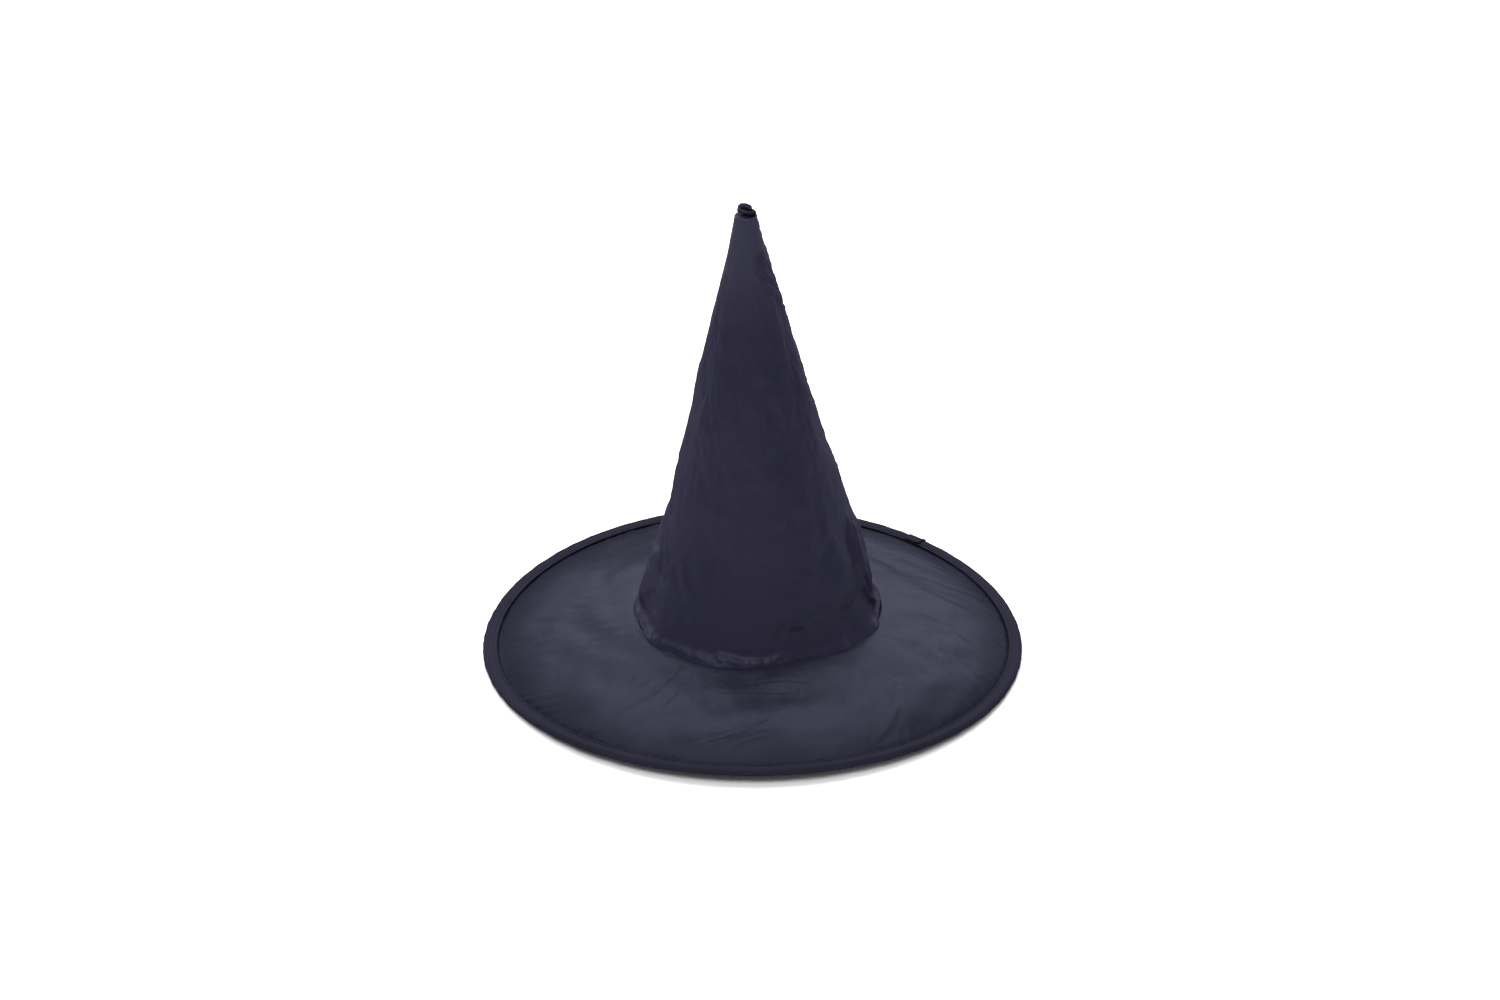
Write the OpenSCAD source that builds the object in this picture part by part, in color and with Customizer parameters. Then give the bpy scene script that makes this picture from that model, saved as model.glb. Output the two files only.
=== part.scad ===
// Witch hat: a sewn cloth cone on a wide round brim. The brim is three plies held out by a
// plastic hoop inside a folded edge tape, and the crown is cloth over a non-woven interfacing.
// Millimetres, +Z up, origin at the centre of the circle that the rim rests on.

/* [Overall] */
// Diameter of the brim over its taped edge
brim_d = 380; // [310:1:460]
// Height of the whole hat, from the rim's underside to the top of the knot
hat_h = 340; // [280:1:410]
// Diameter of the seam that joins the crown to the brim
head_seam_d = 176; // [145:1:215]

/* [Brim] */
// Height of the brim's top face at the head seam, above the rim's underside
brim_rise = 32; // [26:0.5:42]
// How far the brim's curve stands above a straight line from seam to rim
brim_bow = 1.5; // [0.5:0.5:8]
// Thickness of the brim's felt-like interlining
interlining_t = 0.9; // [0.6:0.1:1.4]

/* [Cloth] */
// Thickness of the polyester cloth
cloth_t = 0.4; // [0.25:0.05:0.6]
// Thickness of the crown's non-woven interfacing
interfacing_t = 0.6; // [0.4:0.1:1]
// Thickness of the folded tape on the rim and on the head seam
tape_t = 0.5; // [0.35:0.05:0.7]
// Diameter of the sewing thread
thread_d = 0.5; // [0.3:0.05:0.7]

/* [Rim] */
// Diameter of the plastic rod that the hoop is bent from
hoop_d = 2.6; // [2:0.1:3.4]
// Width of the edge tape, from the rim inwards
rim_tape_w = 9; // [7.5:0.5:13]
// Distance of the stitch line from the tape's inner edge
stitch_inset = 1.6; // [1:0.1:2.4]
// Wall of the sleeve that joins the hoop's two ends
sleeve_wall = 0.45; // [0.3:0.05:0.55]
// Length of the sleeve
sleeve_l = 24; // [16:1:40]
// Gap between the hoop's two ends inside the sleeve
hoop_gap = 1; // [0.5:0.1:3]
// Length over which the tape's finishing end laps its start
lap_l = 13; // [8:1:24]

/* [Head opening] */
// How far the taped seam allowance hangs below the brim
seam_drop = 9; // [6:0.5:14]
// Thickness of the bundle of cloth edges that the tape covers
allowance_t = 2.1; // [1.5:0.1:3]

/* [Crown] */
// Height of the flare where the crown's cloth spreads to meet the brim
flare_h = 9; // [5:0.5:16]
// How far the flare spreads
flare_w = 6.8; // [3:0.2:10]
// Diameter of the cone's blunt shoulder, under the knot
shoulder_d = 13.4; // [11:0.2:18]
// Width of the crown's seam allowance at its foot
allowance_w_low = 16; // [10:1:22]
// Width of the crown's seam allowance at its top
allowance_w_high = 4; // [3:0.5:5]
// Thickness of the crown's seam allowance
allowance_ply_t = 0.8; // [0.5:0.1:1.2]

/* [Bend] */
// Height of the line about which the peak bends over
bend_z = 215; // [190:1:240]
// Height of the band of cloth that creases as the peak bends
bend_band_h = 40; // [36:1:60]

/* [Tip] */
// Diameter of the knot
knot_d = 8; // [6.8:0.2:9.6]
// Diameter of the neck of gathered cloth under the knot
neck_d = 4.4; // [3.6:0.2:5]
// Height of the gathered shoulder, below the neck
gather_h = 0.5; // [0.3:0.1:1]
// Turns of thread whipped round the neck
thread_turns = 2; // [1:1:4]

/* [Hidden] */
$fn = 240;

satin = "#34323f";
felt = "#2a2a2e";
non_woven = "#3c3b42";
thread_black = "#191821";
natural_plastic = "#d9d6cc";

// Clearance between plies that lie on each other
ply_gap = 0.1;
// Play of the sleeve inside the tape, and of the hoop inside the sleeve
sleeve_play = 0.15;
hoop_fit = 0.03;
// How far the rim's tube is pressed flat where it rests
rest_flat = 0.2;
// Slit where the crown's one cloth is cut so that the peak can turn
split_gap = 0.1;
// Azimuths, from +X towards +Y: the crown's seam, the tape's lap and the hoop's joint
crown_seam_a = 0;
lap_a = 50;
hoop_joint_a = 140;

// Rim section: a tube of tape round the hoop, with its centre at [hoop_r, hoop_z]
rim_r = brim_d / 2;
tube_in_r = hoop_d / 2 + sleeve_wall + sleeve_play;
tube_r = tube_in_r + tape_t;
hoop_r = rim_r - tube_r;
hoop_z = tube_r - rest_flat;
stitch_r = rim_r - rim_tape_w + stitch_inset;

// Brim section: an arc from the head seam to the hoop, bowed upwards
seam_r = head_seam_d / 2;
stack_t = 2 * cloth_t + interlining_t + 2 * ply_gap;
brim_edge_r = hoop_r - hoop_d / 2 - sleeve_wall - sleeve_play;
arc_start = [seam_r, brim_rise - stack_t / 2];
arc_end = [brim_edge_r, hoop_z];
chord = norm(arc_end - arc_start);
along = (arc_end - arc_start) / chord;
arc_r = chord * chord / (8 * brim_bow) + brim_bow / 2;
arc_c = (arc_start + arc_end) / 2 - (arc_r - brim_bow) * [-along.y, along.x];

// Height of the curve that runs off above the brim's middle surface, at radius r
function brim_z(r, off) = arc_c.y + sqrt(pow(arc_r + off, 2) - pow(r - arc_c.x, 2));

// Head seam: the bundle of cloth edges hangs inside a folded tape
bundle_r = seam_r - allowance_t * 0.7;
bore_r = bundle_r - ply_gap - tape_t;
seam_tape_r = bundle_r + allowance_t + ply_gap + tape_t;
seam_tape_top = brim_z(seam_tape_r, -stack_t / 2) - ply_gap;
seam_tape_bottom = seam_tape_top - seam_drop;

// Crown: a cone with a short flare at its foot, standing on the brim
flare_z = brim_rise + flare_h;
// The knot is a ball with its underside cut flat, so that it covers the whipped neck
neck_h = thread_turns * (thread_d + ply_gap) + 2 * ply_gap;
knot_flat_r = neck_d / 2 + ply_gap + thread_d + 0.15;
knot_body_h = knot_d / 2 + sqrt(pow(knot_d / 2, 2) - pow(knot_flat_r, 2));
shoulder_z = hat_h - knot_body_h - neck_h - gather_h;
bend_low = bend_z - bend_band_h / 2;
bend_high = bend_z + bend_band_h / 2;

// Outer radius of the crown's cloth at height z
function crown_r(z) =
    z < flare_z
        ? seam_r - flare_w * (z - brim_rise) / flare_h
        : lookup(z, [[flare_z, seam_r - flare_w], [shoulder_z, shoulder_d / 2]]);
cone_angle = atan((seam_r - flare_w - shoulder_d / 2) / (shoulder_z - flare_z));

// Depths of the crown's plies, measured horizontally in from crown_r
interfacing_off = cloth_t + ply_gap;
crown_seam_off = interfacing_off + interfacing_t + ply_gap;
crown_z0 = brim_z(seam_r - crown_seam_off, stack_t / 2) + ply_gap;
crown_seam_z0 = flare_z + 2;
crown_seam_z1 = shoulder_z - 12;

// A slab of the brim's section between two offsets from its middle surface
module brim_band(off_low, off_high, r_in, r_out) {
    intersection() {
        difference() {
            translate(arc_c) circle(arc_r + off_high, $fn = 1440);
            translate(arc_c) circle(arc_r + off_low, $fn = 1440);
        }
        translate([r_in, 0]) square([r_out - r_in, brim_rise + brim_bow + 10]);
    }
}

module brim_ply(off_low, thickness) {
    rotate_extrude()
        brim_band(off_low, off_low + thickness, bundle_r, brim_edge_r);
}

module brim_under_cloth() {
    color(satin) brim_ply(-stack_t / 2, cloth_t);
}

module brim_interlining() {
    color(felt) brim_ply(-interlining_t / 2, interlining_t);
}

module brim_top_cloth() {
    color(satin) brim_ply(stack_t / 2 - cloth_t, cloth_t);
}

// A short stretch of a ring, centred on azimuth a and running length l at radius r
module ring_stretch(a, l, r) {
    sweep = l / r * 180 / PI;
    rotate([0, 0, a - sweep / 2]) rotate_extrude(angle = sweep) children();
}

module rim_hoop() {
    open = hoop_gap / hoop_r * 180 / PI;
    color(natural_plastic)
        rotate([0, 0, hoop_joint_a + open / 2])
            rotate_extrude(angle = 360 - open)
                translate([hoop_r, hoop_z]) circle(hoop_d / 2, $fn = 48);
}

module rim_hoop_sleeve() {
    color(natural_plastic)
        ring_stretch(hoop_joint_a, sleeve_l, hoop_r)
            translate([hoop_r, hoop_z])
                difference() {
                    circle(hoop_d / 2 + sleeve_wall, $fn = 48);
                    circle(hoop_d / 2 + hoop_fit, $fn = 48);
                }
}

// Outline of the tape on the rim, grown by extra: the tube and the flange on both brim faces
module rim_outline(extra, r_in) {
    translate([hoop_r, hoop_z]) circle(tube_in_r + extra, $fn = 96);
    reach = stack_t / 2 + ply_gap + extra;
    brim_band(-reach, reach, r_in, hoop_r);
}

module rim_tape() {
    r_in = rim_r - rim_tape_w;
    color(satin)
        rotate_extrude()
            difference() {
                intersection() {
                    rim_outline(tape_t, r_in);
                    translate([r_in, 0]) square([rim_tape_w + 5, brim_rise]);
                }
                rim_outline(0, r_in - 1);
            }
}

// The tape's finishing end covers the rim from its stitches outwards, and ends above its rest
module rim_tape_lap() {
    r_in = stitch_r + thread_d / 2 + ply_gap;
    floor_z = 0.6;
    color(satin)
        ring_stretch(lap_a, lap_l, rim_r)
            intersection() {
                difference() {
                    rim_outline(2 * tape_t + ply_gap, r_in);
                    rim_outline(tape_t + ply_gap, r_in - 1);
                }
                polygon([
                    [r_in, brim_z(r_in, 0)], [hoop_r, hoop_z], [hoop_r, floor_z],
                    [rim_r + 5, floor_z], [rim_r + 5, brim_rise], [r_in, brim_rise]
                ]);
            }
}

// One line of lockstitch shows as a thread on the tape's top face and one on its underside
module rim_thread() {
    off = stack_t / 2 + tape_t + thread_d / 2 + 2 * ply_gap;
    color(thread_black)
        for (side = [-1, 1])
            rotate_extrude()
                translate([stitch_r, brim_z(stitch_r, side * off)])
                    circle(thread_d / 2, $fn = 24);
}

// The edges of the crown's cloth and of the brim's plies, turned down and sewn together
module head_seam_allowance() {
    color(satin)
        rotate_extrude()
            translate([bundle_r, seam_tape_bottom + tape_t + ply_gap])
                square([allowance_t, seam_drop - tape_t - ply_gap]);
}

module head_seam_tape() {
    color(satin)
        rotate_extrude()
            translate([bore_r, seam_tape_bottom])
                difference() {
                    square([seam_tape_r - bore_r, seam_drop]);
                    translate([tape_t, tape_t])
                        square([allowance_t + 2 * ply_gap, seam_drop]);
                }
}

module head_seam_thread() {
    r = seam_tape_r + ply_gap + thread_d / 2;
    color(thread_black)
        rotate_extrude()
            translate([r, seam_tape_top - seam_drop * 0.4]) circle(thread_d / 2, $fn = 24);
}

// A ply of the crown from z0 to z1, its outside off in from the crown's outer radius
module crown_ply(off, thickness, z0, z1) {
    heights = z0 < flare_z && flare_z < z1 ? [z0, flare_z, z1] : [z0, z1];
    outside = [for (z = heights) [crown_r(z) - off, z]];
    inside = [for (p = outside) p - [thickness, 0]];
    rotate_extrude()
        polygon(concat(outside, [for (i = [len(inside) - 1:-1:0]) inside[i]]));
}

module crown_cloth(z0, z1) {
    color(satin) crown_ply(0, cloth_t, z0, z1);
}

module crown_interfacing(z0, z1) {
    color(non_woven) crown_ply(interfacing_off, interfacing_t, z0, z1);
}

// Width of the crown's pressed-open seam allowance at height z
function crown_seam_w(z) =
    lookup(z, [[crown_seam_z0, allowance_w_low], [crown_seam_z1, allowance_w_high]]);

// How far a flat strip of width w stands in from a round wall of radius r
function stand_in(w, r) = r - sqrt(r * r - w * w / 4);

// Horizontal depth of the seam strip's outer face, so that its edges clear the wall all the way
crown_seam_depth = crown_seam_off + ply_gap + max(
    [for (z = [crown_seam_z0, bend_low, bend_high, crown_seam_z1])
        stand_in(crown_seam_w(z), crown_r(z) - crown_seam_off)]
);

// The crown's seam allowance: a flat strip, pressed open, that narrows towards the tip
module crown_seam(z0, z1) {
    l = (z1 - z0) / cos(cone_angle);
    w0 = crown_seam_w(z0) / 2;
    w1 = crown_seam_w(z1) / 2;
    color(satin)
        rotate([0, 0, crown_seam_a])
            translate([crown_r(z0) - crown_seam_depth, 0, z0])
                rotate([0, -90 - cone_angle, 0])
                    mirror([0, 0, 1])
                        translate([0, 0, -allowance_ply_t])
                            linear_extrude(allowance_ply_t)
                                polygon([[0, -w0], [l, -w1], [l, w1], [0, w0]]);
}

module tip_gather() {
    color(satin)
        translate([0, 0, shoulder_z])
            rotate_extrude()
                polygon([
                    [0, ply_gap], [shoulder_d / 2, ply_gap], [neck_d / 2, gather_h],
                    [neck_d / 2, gather_h + neck_h - ply_gap], [0, gather_h + neck_h - ply_gap]
                ]);
}

// Turns of thread whipped round the neck
module tip_thread() {
    pitch = thread_d + ply_gap;
    z0 = shoulder_z + gather_h + ply_gap + thread_d / 2;
    color(thread_black)
        for (turn = [0:thread_turns - 1])
            translate([0, 0, z0 + turn * pitch])
                rotate_extrude()
                    translate([neck_d / 2 + ply_gap + thread_d / 2, 0])
                        circle(thread_d / 2, $fn = 24);
}

module tip_knot() {
    color(satin)
        intersection() {
            translate([0, 0, hat_h - knot_d / 2]) sphere(knot_d / 2, $fn = 64);
            translate([0, 0, hat_h - knot_body_h])
                cylinder(h = knot_d, r = knot_d);
        }
}

brim_top_cloth();
brim_interlining();
brim_under_cloth();
rim_hoop();
rim_hoop_sleeve();
rim_tape();
rim_tape_lap();
rim_thread();
head_seam_allowance();
head_seam_tape();
head_seam_thread();
crown_cloth(crown_z0, bend_low);  // crown_cloth_lower
crown_cloth(bend_low, bend_high);  // crown_cloth_bend
crown_cloth(bend_high + split_gap, shoulder_z);  // crown_cloth_peak
crown_interfacing(crown_z0, bend_low);  // crown_interfacing_lower
crown_interfacing(bend_low, bend_high);  // crown_interfacing_bend
crown_interfacing(bend_high + split_gap, crown_seam_z1);  // crown_interfacing_peak
crown_seam(crown_seam_z0, bend_low);  // crown_seam_lower
crown_seam(bend_low, bend_high);  // crown_seam_bend
crown_seam(bend_high + split_gap, crown_seam_z1);  // crown_seam_peak
tip_gather();
tip_thread();
tip_knot();
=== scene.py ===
import math

import bmesh
import bpy
import numpy as np
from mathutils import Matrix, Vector


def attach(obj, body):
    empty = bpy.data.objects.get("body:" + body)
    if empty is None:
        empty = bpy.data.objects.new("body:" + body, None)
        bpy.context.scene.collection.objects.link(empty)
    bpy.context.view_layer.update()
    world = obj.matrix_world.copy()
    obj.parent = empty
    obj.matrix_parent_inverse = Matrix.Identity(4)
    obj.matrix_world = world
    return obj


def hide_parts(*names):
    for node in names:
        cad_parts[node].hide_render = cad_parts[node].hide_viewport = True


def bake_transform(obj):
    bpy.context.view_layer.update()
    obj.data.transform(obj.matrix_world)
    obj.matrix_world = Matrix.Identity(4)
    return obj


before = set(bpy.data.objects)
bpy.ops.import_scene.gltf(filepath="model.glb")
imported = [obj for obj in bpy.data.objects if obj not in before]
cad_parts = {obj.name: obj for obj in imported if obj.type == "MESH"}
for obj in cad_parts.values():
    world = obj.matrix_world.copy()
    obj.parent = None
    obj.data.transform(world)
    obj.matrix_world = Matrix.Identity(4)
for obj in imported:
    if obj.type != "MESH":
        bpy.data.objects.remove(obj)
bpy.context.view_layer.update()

# ---- Camera ------------------------------------------------------------------------------
# The hat is seen from its front and from a little above, from three metres away through a
# long lens, so that the ellipses of its rim and head seam stay nearly even.
camera_far = 3.0
camera_up = math.radians(27.65)
camera_aim = Vector((-0.0018, 0, 0.1157))
camera = bpy.data.objects.new("camera", bpy.data.cameras.new("camera"))
bpy.context.scene.collection.objects.link(camera)
camera.data.sensor_width = 36
camera.data.lens = 103.48
camera.data.clip_end = 50
camera.location = camera_aim + camera_far * Vector(
    (0, -math.cos(camera_up), math.sin(camera_up))
)
camera.rotation_euler = (math.pi / 2 - camera_up, 0, 0)
bpy.context.scene.camera = camera

# ---- Brim: top cloth, interlining and under cloth ------------------------------------------
# Three flat rings of cloth, laid on each other and sewn round both edges: thin satin above
# and below, and a felt-like interlining between them. The hoop in the rim pulls them tight,
# so the satin only shows drawn creases, small gathers at the hoop and the seam's pull.
mm = 0.001
seam_r, rim_r, brim_rise = 88.0, 190.0, 32.0
hoop_r, hoop_z, hoop_d = 187.6, 2.2, 2.6
tape_in_r = 181.0
brim_arc_r = 865.55
brim_arc_centre = (-107.85, -812.05)
# The plies' inner and outer edges, and their faces' offsets from the middle of the brim
ply_in_r, ply_out_r = 86.6, 182.2
ply_top, ply_felt = 0.95, 0.45


def brim_level(r, off=0.0):
    """Height of the brim at radius r, off above its middle surface, in mm."""
    return brim_arc_centre[1] + np.sqrt(
        (brim_arc_r + off) ** 2 - (r - brim_arc_centre[0]) ** 2
    )


def turn_gap(azimuth, centre):
    """Angle in degrees from centre to azimuth, the short way round."""
    return (azimuth - centre + 180) % 360 - 180


def hump(distance, width, power=2):
    """A smooth rise, 1 in its middle and near 0 past its width."""
    return np.exp(-np.abs(distance / width) ** power)


def seam_outline(azimuth):
    """How far the head seam stands out of its circle: the cloth was sewn on by eye."""
    return (
        3.2 * hump(turn_gap(azimuth, -133), 33, 4)
        - 4.6 * hump(turn_gap(azimuth, -68), 16)
        + 0.6 * np.sin(np.radians(3 * azimuth + 40))
    )


def seam_lift(azimuth):
    """How far the head seam rides up where the crown is drawn in."""
    return 1.7 * hump(turn_gap(azimuth, -68), 17)


lean_heights = [0, 32, 57, 107, 132, 157, 182, 208, 233, 258, 283, 308, 341]
lean_shifts = [4.0, 4.0, 4.6, 4.1, 3.1, 1.7, 0.5, -0.6, -1.3, -2.3, -2.9, -3.8, -5.0]
lean_curve = np.poly1d(np.polyfit(lean_heights[2:], lean_shifts[2:], 4))


def crown_lean(z):
    """Sideways shift of the crown at height z: it leans a little to the left."""
    return np.where(z < 57, 4.0 + 0.6 * np.clip((z - 32) / 25, 0, 1), lean_curve(z))


def settle(r, azimuth, z):
    """Where a point of the straight, round hat lies on the hat as its cloth has settled:
    the rim waves, the head seam isn't a true circle, and the crown leans."""
    turn = np.radians(azimuth)
    out = np.clip((r - seam_r) / (rim_r - seam_r), 0, 1.1)
    wave = 3.3 * (1 - np.cos(2 * turn)) * out**1.5
    near = np.exp(-np.clip(r - seam_r, 0, None) / 34 - np.clip(z - brim_rise, 0, None) / 30)
    r = r + seam_outline(azimuth) * near
    lift = seam_lift(azimuth) * near
    shift = np.where(z > brim_rise, crown_lean(z), 4.0 * (1 - out))
    return np.stack(
        [r * np.cos(turn) + shift, r * np.sin(turn), z + wave + lift], axis=1
    )


def round_places(points):
    """Radius, azimuth in degrees and height of each point, in mm."""
    x, y, z = (points / mm).T
    return np.hypot(x, y), np.degrees(np.arctan2(y, x)), z


def turned(name, profile, steps, cuts=0, closed=False):
    """A ring piece: a flat strip rolled round the hat's axis and joined at its ends. Across
    it runs a profile of (radius, height) in mm, each stretch of it cut into cuts + 1."""
    run = np.array(profile + profile[:1] if closed else profile)
    rows = (len(run) - 1) * (cuts + 1)
    strip = bmesh.new()
    bmesh.ops.create_grid(strip, x_segments=steps, y_segments=rows, size=1.0)
    for vert in strip.verts:
        turn, place = math.pi * vert.co.x, (vert.co.y + 1) / 2 * (len(run) - 1)
        first = min(int(place + 1e-4), len(run) - 2)
        r, z = (run[first] + (run[first + 1] - run[first]) * (place - first)) * mm
        vert.co = (r * math.cos(turn), r * math.sin(turn), z)
    bmesh.ops.remove_doubles(strip, verts=strip.verts, dist=1e-6)
    bmesh.ops.recalc_face_normals(strip, faces=strip.faces)
    return placed(name, strip)


def placed(name, shape):
    """Makes a shown, smooth object of a finished bmesh."""
    mesh = bpy.data.meshes.new(name)
    shape.to_mesh(mesh)
    shape.free()
    mesh.shade_smooth()
    piece = bpy.data.objects.new(name, mesh)
    bpy.context.scene.collection.objects.link(piece)
    return piece


def points_of(piece):
    flat = np.empty(len(piece.data.vertices) * 3)
    piece.data.vertices.foreach_get("co", flat)
    return flat.reshape(-1, 3)


def move_to(piece, points):
    """Sets the piece's points, given in mm."""
    piece.data.vertices.foreach_set("co", (points * mm).ravel())
    piece.data.update()


def of_faces(piece, what):
    flat = np.empty(len(piece.data.polygons) * 3)
    piece.data.polygons.foreach_get(what, flat)
    return flat.reshape(-1, 3)


def face_towards(piece, up):
    """Turns an open sheet's faces so that most of them point along up(centre)."""
    if np.sum(of_faces(piece, "normal") * up(of_faces(piece, "center"))) < 0:
        piece.data.flip_normals()


def crease(azimuth, level, line, width, height, kind="ridge", reach=None):
    """Height that one crease gives to each point. line is its run in (azimuth, level); a
    pleat stands up on one side of it and dips on the other."""
    run = np.array(line, float)
    scale = np.radians(1) * (reach if reach is not None else run[:, 1].mean())
    here = np.stack([turn_gap(azimuth, run[0, 0]) * scale, level], axis=1)
    run = np.stack([turn_gap(run[:, 0], run[0, 0]) * scale, run[:, 1]], axis=1)
    lengths = np.linalg.norm(np.diff(run, axis=0), axis=1)
    total, before = lengths.sum(), 0.0
    best = np.full(len(here), 1e9)
    side = np.zeros(len(here))
    along = np.zeros(len(here))
    for start, stop, length in zip(run[:-1], run[1:], lengths):
        way = (stop - start) / length
        t = (here - start) @ way
        inside = np.clip(t, 0, length)
        off = here - start - inside[:, None] * way
        distance = np.hypot(off[:, 0], off[:, 1])
        nearer = distance < best
        best = np.where(nearer, distance, best)
        cross = way[0] * off[:, 1] - way[1] * off[:, 0]
        side = np.where(nearer, np.sign(cross), side)
        along = np.where(nearer, (before + inside) / total, along)
        before += length
    fade = np.clip(np.minimum(along, 1 - along) / 0.22 + 0.12, 0, 1)
    fade = fade * fade * (3 - 2 * fade)
    d = best / width
    if kind == "pleat":
        return height * fade * side * 1.65 * d * np.exp(-d * d)
    return height * fade * np.exp(-d * d)


def slack(azimuth, level, around, along, seed, waves=56):
    """Soft unevenness with an rms of 1: many long waves laid over each other. around and
    along are their usual lengths, in degrees and mm."""
    draw = np.random.default_rng(seed)
    turns = np.round(draw.normal(0, 360 / around, waves))
    runs = draw.normal(0, 2 * math.pi / along, waves)
    starts = draw.uniform(0, 2 * math.pi, waves)
    height = np.zeros(len(azimuth))
    turn = np.radians(azimuth)
    for count, run, start in zip(turns, runs, starts):
        height += np.sin(count * turn + run * level + start)
    return height * math.sqrt(2 / waves)


# Runs of the creases in the brim's satin: (azimuth, radius), half width, height, kind
brim_creases = [
    ([(-121, 90), (-122, 118), (-126, 144), (-130, 168)], 1.4, 0.95, "pleat"),
    ([(-116, 100), (-116, 124), (-119, 148), (-123, 168)], 2.0, -0.45, "pleat"),
    ([(-129, 130), (-133, 150), (-137, 169)], 2.2, 0.50, "pleat"),
    ([(-83, 136), (-92, 146), (-103, 162), (-109, 174)], 1.6, 0.40, "pleat"),
    ([(-86, 150), (-94, 160), (-100, 174)], 2.0, 0.26, "pleat"),
    ([(-140, 128), (-144, 150), (-149, 175)], 2.6, 0.32, "pleat"),
    ([(-98, 108), (-88, 104), (-78, 106), (-70, 112)], 1.3, 0.15, "pleat"),
    ([(-104, 116), (-90, 113), (-76, 117)], 1.2, 0.13, "pleat"),
    ([(66, 126), (54, 138), (45, 147), (37, 157), (30, 167)], 2.4, 0.85, "pleat"),
    ([(48, 118), (38, 124), (29, 122)], 6.0, -1.0, "ridge"),
    ([(20, 120), (12, 140), (7, 165)], 5.0, 0.45, "pleat"),
    ([(30, 130), (22, 150), (17, 172)], 4.0, 0.40, "pleat"),
    ([(-2, 130), (-9, 152), (-14, 175)], 4.5, 0.55, "pleat"),
    ([(-12, 128), (-20, 150), (-26, 176)], 3.4, 0.55, "pleat"),
    ([(-20, 134), (-28, 156), (-35, 177)], 3.0, 0.50, "pleat"),
    ([(-41, 126), (-44, 138)], 1.8, -0.55, "ridge"),
    ([(-48, 150), (-56, 166), (-62, 176)], 3.0, 0.35, "pleat"),
    ([(160, 112), (148, 124), (139, 140)], 7.0, 0.6, "pleat"),
    ([(-166, 104), (-160, 132), (-156, 164)], 7.0, 0.45, "pleat"),
    ([(118, 104), (112, 130), (110, 160)], 5.0, 0.5, "pleat"),
    ([(90, 100), (88, 130), (84, 165)], 5.0, 0.45, "pleat"),
]


def rim_droop(r):
    """The ring hangs over its hoop, so it falls more steeply at its outer edge."""
    inward, outward = np.clip(tape_in_r - r, 0, None), np.clip(r - tape_in_r, 0, None)
    fall = 0.8 * np.exp(-inward / 12) + 0.4 * np.exp(-inward / 30)
    return fall * np.exp(-((outward / 3) ** 2))


def brim_slack(azimuth, r):
    """Height of the brim satin's creases and gathers."""
    across = np.clip((r - seam_r) / (tape_in_r - seam_r), 0, 1)
    free = np.sin(np.pi * np.clip(across, 0.03, 0.985)) ** 0.55
    height = 0.42 * slack(azimuth, r, 34, 46, 11) * free
    height += 0.13 * slack(azimuth, r, 9, 40, 12) * free
    for line, width, tall, kind in brim_creases:
        height += crease(azimuth, r, line, width, tall, kind) * np.clip(free * 2, 0, 1)
    # Gathers at the hoop, strongest at the front left and at the right
    gathered = (
        0.10
        + 0.60 * hump(turn_gap(azimuth, -133), 20, 4)
        + 0.20 * hump(turn_gap(azimuth, -20), 26, 4)
        + 0.18 * hump(turn_gap(azimuth, 118), 16, 4)
        + 0.14 * hump(turn_gap(azimuth, 175), 30, 4)
    )
    inward = np.clip(tape_in_r - r, 0, None)
    ripple = slack(azimuth + 0.25 * (r - 181), r * 0.2, 2.2, 60, 13, 90)
    height += gathered * np.exp(-((inward / 14) ** 1.4)) * np.clip(ripple, -0.7, 2.0)
    height -= rim_droop(r)
    # The satin dips into the head seam and under the edge of the tape
    height -= 0.9 * np.exp(-np.clip(r - seam_r, 0, None) / 2.2)
    height -= 0.75 * np.exp(-np.abs(tape_in_r - 0.4 - r) / 1.3)
    return height


brim_top_cloth = turned(
    "brim_top_satin",
    [(r, brim_level(r, ply_top)) for r in (ply_in_r, ply_out_r)],
    640,
    107,
)
face_towards(brim_top_cloth, lambda c: np.array((0, 0, 1)))
r, azimuth, z = round_places(points_of(brim_top_cloth))
z = brim_level(r, ply_top) + brim_slack(azimuth, r)


def cut_map(piece, flat):
    """Gives the piece a UV map of its flat cut, in metres, from each corner's own azimuth
    and level; flat turns (azimuth, level) into (u, v)."""
    mesh = piece.data
    corner = np.empty(len(mesh.loops), int)
    mesh.loops.foreach_get("vertex_index", corner)
    corners = np.empty(len(mesh.polygons), int)
    mesh.polygons.foreach_get("loop_total", corners)
    owner = np.repeat(np.arange(len(corners)), corners)
    radius, turn, level = round_places(points_of(piece))
    centre = of_faces(piece, "center")
    middle = np.degrees(np.arctan2(centre[:, 1], centre[:, 0])) % 360
    turn = middle[owner] + turn_gap(turn[corner], middle[owner])
    u, v = flat(turn, radius[corner], level[corner])
    cut = mesh.uv_layers.new(name="cut")
    cut.data.foreach_set("uv", np.stack([u, v], axis=1).ravel() * mm)


def ring_cut(turn, radius, level):
    return radius * np.cos(np.radians(turn)), radius * np.sin(np.radians(turn))


cut_map(brim_top_cloth, ring_cut)
move_to(brim_top_cloth, settle(r, azimuth, z))

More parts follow.
